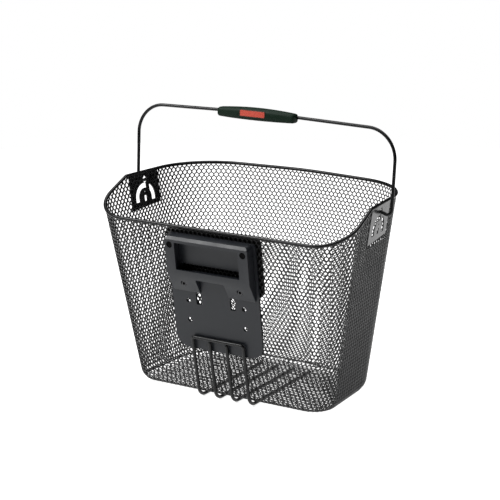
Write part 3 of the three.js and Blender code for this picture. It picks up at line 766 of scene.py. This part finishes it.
def housing():
    half, bottom, top = HOUSING["half"], HOUSING["bottom"], HOUSING["top"]
    radii = [HOUSING["foot_radius"], HOUSING["foot_radius"], HOUSING["radius"], HOUSING["radius"]]
    corner_steps = 6
    shape = rounded_rectangle(-half, half, bottom, top, radii, corner_steps)
    first_corner, rest = shape[: corner_steps + 1], shape[corner_steps + 1 :]
    round_by = NOTCH["radius"]
    notch = [
        (-NOTCH["half"], bottom),
        *arc((-NOTCH["half"] + round_by, NOTCH["top"] - round_by), round_by, 180, 90, 4),
        *arc((NOTCH["half"] - round_by, NOTCH["top"] - round_by), round_by, 90, 0, 4),
        (NOTCH["half"], bottom),
    ]
    holes = [cutout(WINDOW, 4)]
    for sign in (-1, 1):
        holes.append(circle(sign * SCREW["x"], SCREW["z"], SCREW["head"] + GAP))
        holes.append(circle(sign * BUFFER["x"], BUFFER["z"], BUFFER["radius"] + GAP))
    bm = flat_face([first_corner + notch + rest, *holes])
    thicken(bm, -HOUSING["front"], -HOUSING_BACK)
    everything = bm.verts[:] + bm.edges[:] + bm.faces[:]
    bmesh.ops.bisect_plane(bm, geom=everything, plane_co=(0, 0, APRON["top"]), plane_no=(0, 0, 1))
    for v in bm.verts:
        share = (-v.co.y - HOUSING_BACK) / (HOUSING["front"] - HOUSING_BACK)
        v.co.y = -(HOUSING_BACK + share * (housing_front(v.co.z) - HOUSING_BACK))
    made = object_from_bmesh("housing", bm, WALL_FRAME)
    cut_away(made, object_from_bmesh("cavity", cavity(), WALL_FRAME))
    cut_away(made, object_from_bmesh("slope", top_slope(), WALL_FRAME))
    round_edges(made, PLASTIC_EDGE)
    return made


def cavity():
    """The hollow behind the housing's front wall, open to the base plate."""
    past_back = 1
    return thicken(flat_face([cutout(CAVITY, 2)]), CAVITY["front_wall"] - HOUSING["front"], past_back)


def top_slope():
    """The corner cut off along the housing's top front edge."""
    past = 1  # how far the wedge reaches past the housing
    front, top, end = -HOUSING["front"] - past, HOUSING["top"] + past, HOUSING["half"] + past
    leg = TOP_SLOPE + 2 * past
    bm = bmesh.new()
    near = [bm.verts.new((-end, y, z)) for y, z in ((front, top), (front, top - leg), (front + leg, top))]
    far = [bm.verts.new((end, v.co.y, v.co.z)) for v in near]
    bm.faces.new(near)
    bm.faces.new(far[::-1])
    for k in range(3):
        bm.faces.new((near[k], near[k - 1], far[k - 1], far[k]))
    bmesh.ops.recalc_face_normals(bm, faces=bm.faces)
    return bm


def housing_seats():
    """The bottoms of the housing's round pockets for the screws and buffers."""
    bm = bmesh.new()
    back = -HOUSING_BACK
    past_hole = GAP + 0.1
    pockets = [
        (SCREW, SCREW["head"] + past_hole, -SCREW["seat"]),
        (BUFFER, BUFFER["radius"] + past_hole, BUFFER["deep"] - HOUSING["front"]),
    ]
    for sign in (-1, 1):
        for where, reach, floor in pockets:
            profile = [(0, back), (reach, back), (reach, floor), (0, floor)]
            lathe(bm, profile, sign * where["x"], where["z"])
    return object_from_bmesh("housing_seats", bm, WALL_FRAME)


def counter_plate():
    half, bottom, top, chamfer = COUNTER["half"], COUNTER["bottom"], COUNTER["top"], COUNTER["chamfer"]
    top_chamfer = COUNTER["top_chamfer"]
    shape = [
        (-half + chamfer, bottom),
        (half - chamfer, bottom),
        (half, bottom + chamfer),
        (half, top - top_chamfer),
        (half - top_chamfer, top),
        (-half + top_chamfer, top),
        (-half, top - top_chamfer),
        (-half, bottom + chamfer),
    ]
    bm = flat_face([shape])
    inner = SHEET + GAP
    thicken(bm, inner, inner + COUNTER["thick"])
    made = object_from_bmesh("counter_plate_inside", bm, WALL_FRAME)
    round_edges(made, PLASTIC_EDGE)
    return made


def screw(name, sign):
    """A pan head with a round socket, on its threaded shaft. The socket takes the second material,
    near-black, as painted shade in the hole.
    """
    seat = -SCREW["seat"] - GAP
    top = seat - SCREW["head_thick"]
    head, shaft, end = SCREW["head"], SCREW["shaft"], SCREW["inside"]
    socket, floor = SCREW_SOCKET["radius"], top + SCREW_SOCKET["deep"]
    pitch, root = SCREW_THREAD["pitch"], SCREW["shaft"] - SCREW_THREAD["deep"]
    point = 1
    # The socket and its chamfer, the head's flat top and rounded rim, then its seat
    profile = [
        (0, floor),
        (socket, floor),
        (socket, top + 0.1),
        (socket + 0.15, top),
        (head - 0.9, top),
        (head - 0.35, top + 0.2),
        (head - 0.05, top + 0.7),
        (head, seat - 0.1),
        (head - 0.1, seat),
        (shaft, seat),
    ]
    turns = int((end - point - seat) / pitch) - 1
    for k in range(turns):
        start = seat + 0.5 + k * pitch
        profile += [(shaft, start), (root, start + 0.5 * pitch)]
    profile += [(shaft, end - point), (shaft / 2, end), (0, end)]
    bm = bmesh.new()
    lathe(bm, profile, sign * SCREW["x"], SCREW["z"], 30)
    axis = Vector((sign * SCREW["x"], 0, SCREW["z"]))
    # Faces inside the socket get the second material, near-black, as painted shade in the hole.
    for face in bm.faces:
        flat = face.calc_center_median() - axis
        face.material_index = 1 if math.hypot(flat.x, flat.z) < socket and flat.y < seat else 0
    made = object_from_bmesh(name, bm, WALL_FRAME)
    smooth_between_edges(made, 40)
    return made


def buffer(name, sign):
    front = -HOUSING["front"] + BUFFER["recess"]
    back = -HOUSING["front"] + BUFFER["deep"] - GAP
    radius = BUFFER["radius"]
    # A shallow dish, the rounded rim and the straight side
    profile = [
        (0, front + 0.15),
        (radius * 0.55, front + 0.12),
        (radius - 0.7, front),
        (radius - 0.2, front + 0.2),
        (radius, front + 0.7),
        (radius, back),
        (0, back),
    ]
    bm = bmesh.new()
    lathe(bm, profile, sign * BUFFER["x"], BUFFER["z"])
    made = object_from_bmesh(name, bm, WALL_FRAME)
    smooth_between_edges(made, 40)
    return made


# ---- skids ----


def skid_points(x):
    under = -GAP - SKID_RADIUS
    top = WALL_FRAME @ Vector((x, -SKID["bar_out"], SKID["bar_up"]))
    return Vector((x, SKID["front_y"], under)), Vector((x, -GAP - SKID_RADIUS, under)), top


def outer_skid():
    front, corner, top = skid_points(SKID["outer_x"])
    flip = lambda p: Vector((-p.x, p.y, p.z))
    corners = [flip(front), flip(corner), flip(top), top, corner, front]
    bends = [SKID_BENDS["bottom"], SKID_BENDS["bar"], SKID_BENDS["bar"], SKID_BENDS["bottom"]]
    return wire("skid_frame", bent_line(corners, bends), SKID_RADIUS, sides=6)


def inner_skid(name, sign):
    front, corner, top = skid_points(sign * SKID["inner_x"])
    end = top + (corner - top).normalized() * (SKID_RADIUS + GAP)
    return wire(name, bent_line([front, corner, end], [SKID_BENDS["bottom"]]), SKID_RADIUS, sides=6)


# ---- handle ----

HANDLE_FRAME = (
    Matrix.Translation((0, PIVOT.y, PIVOT.z))
    @ Matrix.Rotation(-HANDLE_LEAN, 4, "X")
    @ Matrix.Translation((0, HANDLE_FORWARD, 0))
)


def handle_line():
    half = [Vector(corner) for corner in HANDLE_CORNERS]
    other = [Vector((-p.x, p.y, p.z)) for p in reversed(half)]
    corners = other + [Vector((0, 0, HANDLE_MIDDLE))] + half
    bends = HANDLE_BENDS[::-1] + [HANDLE_MIDDLE_RADIUS] + HANDLE_BENDS
    return [HANDLE_FRAME @ p for p in bent_line(corners, bends, 5)]


def bar_height(x):
    """Height of the handle wire's centre line at a distance from its middle."""
    corner_x, _, corner_z = HANDLE_CORNERS[0]
    slope = (HANDLE_MIDDLE - corner_z) / corner_x
    radius = HANDLE_MIDDLE_RADIUS
    reach = radius * math.sin(math.atan(slope))
    if abs(x) >= reach:
        return HANDLE_MIDDLE - slope * abs(x)
    return HANDLE_MIDDLE - slope * reach + (reach**2 - x**2) / (2 * radius)


def grip_section(x):
    """Top, bottom, front and back of the grip, from the wire, at a distance from its middle."""
    full = 1 - (x / GRIP["half"]) ** 2
    return {side: GRIP_END[side] + (GRIP_MIDDLE[side] - GRIP_END[side]) * full for side in GRIP_END}


def squared(value, power):
    return math.copysign(abs(value) ** power, value)


def grip():
    """A moulded sleeve with a flat front, rounded ends and a parting line along its top and bottom."""
    around, lengthwise = 64, 44
    half = GRIP["half"]
    end_round, end_share = GRIP_END_ROUND["length"], GRIP_END_ROUND["share"]
    turns = np.radians([0, 12, 25, 38, 52, 66, 78])
    stations = [
        (-half + end_round * (1 - math.cos(t)), end_share + (1 - end_share) * math.sin(t)) for t in turns
    ]
    stations += [(x, 1.0) for x in np.linspace(-half + end_round, half - end_round, lengthwise)]
    stations += [(-x, scale) for x, scale in reversed(stations[: len(turns)])]
    bm = bmesh.new()
    rings = []
    for x, scale in stations:
        side = grip_section(x)
        y_middle, y_half = (side["front"] + side["back"]) / 2, (side["back"] - side["front"]) / 2
        z_middle, z_half = (side["top"] + side["bottom"]) / 2, (side["top"] - side["bottom"]) / 2
        ring = []
        for k in range(around):
            angle = 2 * math.pi * k / around
            parting = PARTING_LINE if k in (around // 4, 3 * around // 4) else 0
            y = y_middle + y_half * scale * squared(math.cos(angle), GRIP_SQUARE["across"])
            z = z_middle + (z_half * scale - parting) * squared(math.sin(angle), GRIP_SQUARE["up"])
            ring.append(bm.verts.new((x + GRIP["centre"], y, bar_height(x + GRIP["centre"]) + z)))
        rings.append(ring)
    for low, high in zip(rings, rings[1:]):
        for k in range(around):
            bm.faces.new((low[k], low[(k + 1) % around], high[(k + 1) % around], high[k]))
    for ring in (rings[0], rings[-1]):
        bm.faces.new(ring)
    bmesh.ops.recalc_face_normals(bm, faces=bm.faces)
    made = object_from_bmesh("grip", bm, HANDLE_FRAME)
    smooth_between_edges(made, 50)
    return made


def label(name, size):
    """A small plate on the grip's front face."""
    centre = LABEL["centre"]
    middle = bar_height(centre) + LABEL["middle"]
    wide = LABEL["half"] + size["wider"]
    tall = LABEL["height"] / 2 + size["wider"]
    radii = [size["radius"]] * 4
    bm = flat_face([rounded_rectangle(centre - wide, centre + wide, middle - tall, middle + tall, radii, 4)])
    front = GRIP_MIDDLE["front"] - size["proud"]
    thicken(bm, front, front + LABEL["thick"])
    made = object_from_bmesh(name, bm, HANDLE_FRAME)
    round_edges(made, LABEL_EDGE)
    return made


# ---- materials ----


def finish_material(name, colours, rough, grain, worn=None, specular=0.5, metallic=0):
    """A procedural finish: cloudy colour, grain in bump and roughness, and worn colour along edges.

    rough is the mean roughness and its spread. grain is the size of the surface's texture and its depth, in
    millimetres.
    """
    rough_mean, rough_spread = rough
    grain_size, grain_depth = grain
    made = bpy.data.materials.new(name)
    made.use_nodes = True
    nodes, links = made.node_tree.nodes, made.node_tree.links
    shader = nodes["Principled BSDF"]
    place = nodes.new("ShaderNodeTexCoord").outputs["Object"]

    def noise(size, detail):
        node = nodes.new("ShaderNodeTexNoise")
        node.inputs["Scale"].default_value = 1 / (size * MM)
        node.inputs["Detail"].default_value = detail
        links.new(place, node.inputs["Vector"])
        return node.outputs["Fac"]

    def mix(factor, first, second):
        node = nodes.new("ShaderNodeMix")
        node.data_type = "RGBA"
        links.new(factor, node.inputs["Factor"])
        for socket, value in ((node.inputs[6], first), (node.inputs[7], second)):
            if isinstance(value, tuple):
                socket.default_value = (*value, 1)
            else:
                links.new(value, socket)
        return node.outputs[2]

    def remap(value, low, high, to_low, to_high):
        node = nodes.new("ShaderNodeMapRange")
        numbers = {"From Min": low, "From Max": high, "To Min": to_low, "To Max": to_high}
        for socket, number in numbers.items():
            node.inputs[socket].default_value = number
        links.new(value, node.inputs["Value"])
        return node.outputs["Result"]

    clouds = remap(noise(CLOUD_SIZE, 4), *CLOUD_SPAN, 0, 1)
    speckle = noise(grain_size, 3)
    shade = mix(clouds, *colours)
    if worn is not None:
        rounded = nodes.new("ShaderNodeBevel")
        rounded.samples = 4
        rounded.inputs["Radius"].default_value = WEAR_WIDTH * MM
        normal = nodes.new("ShaderNodeNewGeometry")
        dot = nodes.new("ShaderNodeVectorMath")
        dot.operation = "DOT_PRODUCT"
        links.new(rounded.outputs["Normal"], dot.inputs[0])
        links.new(normal.outputs["Normal"], dot.inputs[1])
        edges = remap(dot.outputs["Value"], *WEAR_BEND, 0, WEAR_AMOUNT)
        broken = nodes.new("ShaderNodeMath")
        broken.operation = "MULTIPLY"
        links.new(edges, broken.inputs[0])
        links.new(remap(noise(BREAK_SIZE, 3), *BREAK_SPAN, BREAK_FAINT, 1), broken.inputs[1])
        shade = mix(broken.outputs["Value"], shade, worn)
    links.new(shade, shader.inputs["Base Color"])
    blend = nodes.new("ShaderNodeMath")
    blend.operation = "ADD"
    links.new(clouds, blend.inputs[0])
    links.new(speckle, blend.inputs[1])
    smooth, coarse = rough_mean - rough_spread, rough_mean + rough_spread
    links.new(remap(blend.outputs["Value"], *GRAIN_SPAN, smooth, coarse), shader.inputs["Roughness"])
    bump = nodes.new("ShaderNodeBump")
    bump.inputs["Distance"].default_value = grain_depth * MM
    bump.inputs["Strength"].default_value = 1
    links.new(speckle, bump.inputs["Height"])
    links.new(bump.outputs["Normal"], shader.inputs["Normal"])
    shader.inputs["Specular IOR Level"].default_value = specular
    shader.inputs["Metallic"].default_value = metallic
    return made


def painted_mesh():
    colours = (0.003, 0.0032, 0.0035), (0.005, 0.0053, 0.0057)
    return finish_material("painted_mesh", colours, rough=(0.38, 0.08), grain=(0.9, 0.02), specular=0.45)


def painted_wire():
    colours = (0.003, 0.0032, 0.0035), (0.005, 0.0053, 0.0057)
    return finish_material("painted_wire", colours, rough=(0.3, 0.07), grain=(1.2, 0.01), specular=0.25)


def painted_plate():
    colours = (0.004, 0.0042, 0.0045), (0.006, 0.0062, 0.0065)
    worn = (0.03, 0.03, 0.032)
    return finish_material("painted_plate", colours, (0.26, 0.07), (1.0, 0.01), worn, specular=0.6)


def grey_plastic():
    colours = (0.0075, 0.009, 0.0115), (0.0095, 0.011, 0.014)
    worn = (0.04, 0.04, 0.045)
    return finish_material("grey_plastic", colours, (0.4, 0.06), (0.45, 0.02), worn, specular=0.27)


def black_plastic():
    colours = (0.003, 0.003, 0.003), (0.005, 0.005, 0.005)
    worn = (0.01, 0.01, 0.01)
    return finish_material("black_plastic", colours, (0.6, 0.07), (0.5, 0.02), worn, specular=0.1)


def grip_plastic():
    colours = (0.004, 0.012, 0.0065), (0.006, 0.015, 0.009)
    worn = (0.02, 0.03, 0.025)
    return finish_material("grip_plastic", colours, (0.5, 0.07), (0.5, 0.03), worn, specular=0.1)


def red_inlay():
    colours = (0.42, 0.05, 0.032), (0.46, 0.065, 0.04)
    worn = (0.3, 0.05, 0.03)
    return finish_material("red_inlay", colours, (0.35, 0.06), (0.6, 0.01), worn)


def label_edge():
    colours = (0.06, 0.015, 0.008), (0.09, 0.02, 0.01)
    return finish_material("label_edge", colours, rough=(0.45, 0.06), grain=(0.6, 0.01))


# Near-black rubber for the buffers, also put on the screw sockets as painted shade in the holes.
def rubber():
    colours = (0.002, 0.002, 0.002), (0.004, 0.004, 0.004)
    return finish_material("rubber", colours, rough=(0.8, 0.1), grain=(0.4, 0.04), specular=0.03)


def screw_steel():
    colours = (0.03, 0.03, 0.032), (0.05, 0.05, 0.053)
    worn = (0.2, 0.2, 0.21)
    return finish_material("screw_steel", colours, (0.4, 0.1), (0.5, 0.015), worn, metallic=0.5)


# ---- assembly ----


def place(made, body, slot, material, *nodes):
    made.data.materials.append(material)
    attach(made, body)
    if nodes:
        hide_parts(*nodes)


def build():
    mesh_paint, wire_paint, plate_paint = painted_mesh(), painted_wire(), painted_plate()
    grey, black, grip_finish = grey_plastic(), black_plastic(), grip_plastic()
    red, dark_red, rubber_and_socket_shade, steel = red_inlay(), label_edge(), rubber(), screw_steel()

    for piece in mesh_walls():
        place(piece, "basket", "painted_mesh", mesh_paint, "basket_wall")
    place(mesh_floor(), "basket", "painted_mesh", mesh_paint, "basket_floor")
    place(floor_seam(), "basket", "painted_mesh", mesh_paint)
    place(rim(), "basket", "painted_wire", wire_paint, "rim_wire")
    place(outer_skid(), "basket", "painted_wire", wire_paint, "skid_frame_wire")
    place(base_plate(), "basket", "grey_plastic", grey, "adapter_base_plate")
    place(housing(), "basket", "grey_plastic", grey, "adapter_housing")
    place(housing_seats(), "basket", "grey_plastic", grey)
    place(counter_plate(), "basket", "black_plastic", black, "counter_plate")
    for side, sign in (("left", -1), ("right", 1)):
        place(inner_skid("skid_" + side, sign), "basket", "painted_wire", wire_paint, "skid_wire_" + side)
        plate = side_plate("plate_" + side, sign < 0)
        place(plate, "basket", "painted_plate", plate_paint, "side_plate_" + side)
        fastener = screw("screw_" + side, sign)
        place(fastener, "basket", "screw_steel", steel, "housing_screw_" + side)
        # The screw's socket faces take the near-black rubber as painted shade in the hole.
        fastener.data.materials.append(rubber_and_socket_shade)
        place(buffer("buffer_" + side, sign), "basket", "rubber", rubber_and_socket_shade, "rubber_buffer_" + side)

    bow = wire("handle_bow", handle_line(), HANDLE_WIRE_RADIUS, sides=7)
    place(bow, "handle", "painted_wire", wire_paint, "handle_wire")
    place(grip(), "handle", "grip_plastic", grip_finish, "handle_grip")
    place(label("label_frame", LABEL_FRAME), "handle", "grip_plastic", dark_red)
    place(label("label", LABEL_FACE), "handle", "red_inlay", red, "grip_inlay")


# ---- studio ----


def area_light(name, place, target, size, power):
    """A rectangular light that faces a target."""
    data = bpy.data.lights.new(name, "AREA")
    data.shape = "RECTANGLE"
    data.size, data.size_y = size
    data.energy = power
    light = new_object(name, data)
    light.location = place
    light.rotation_euler = (Vector(target) - Vector(place)).to_track_quat("-Z", "Y").to_euler()


def studio():
    scene = bpy.context.scene
    scene.view_settings.view_transform = "Standard"
    world = bpy.data.worlds.new("studio")
    world.use_nodes = True
    nodes, links = world.node_tree.nodes, world.node_tree.links
    seen = nodes.new("ShaderNodeLightPath").outputs["Is Camera Ray"]
    level = nodes.new("ShaderNodeMapRange")
    level.inputs["To Min"].default_value = ROOM_LIGHT
    level.inputs["To Max"].default_value = 1
    links.new(seen, level.inputs["Value"])
    nodes["Background"].inputs["Color"].default_value = (1, 1, 1, 1)
    links.new(level.outputs["Result"], nodes["Background"].inputs["Strength"])
    scene.world = world

    bm = bmesh.new()
    bmesh.ops.create_circle(bm, cap_ends=True, segments=96, radius=FLOOR_REACH)
    mesh = bpy.data.meshes.new("studio_floor")
    bm.to_mesh(mesh)
    bm.free()
    floor = new_object("studio_floor", mesh)
    pale = bpy.data.materials.new("studio_floor")
    pale.use_nodes = True
    shader = pale.node_tree.nodes["Principled BSDF"]
    shader.inputs["Base Color"].default_value = (FLOOR_GREY, FLOOR_GREY, FLOOR_GREY, 1)
    shader.inputs["Roughness"].default_value = 0.9
    shader.inputs["Emission Color"].default_value = (1, 1, 1, 1)
    shader.inputs["Emission Strength"].default_value = FLOOR_GLOW
    mesh.materials.append(pale)

    for name, light in LIGHTS.items():
        area_light(name, **light)

    data = bpy.data.cameras.new("camera")
    data.lens = CAMERA_LENS
    data.sensor_width = SENSOR_WIDTH
    camera = new_object("camera", data)
    back = Vector(
        (
            math.sin(CAMERA_AZIMUTH) * math.cos(CAMERA_ELEVATION),
            -math.cos(CAMERA_AZIMUTH) * math.cos(CAMERA_ELEVATION),
            math.sin(CAMERA_ELEVATION),
        )
    )
    camera.location = CAMERA_TARGET + back * CAMERA_DISTANCE
    camera.rotation_euler = back.to_track_quat("Z", "Y").to_euler()
    scene.camera = camera


build()
studio()
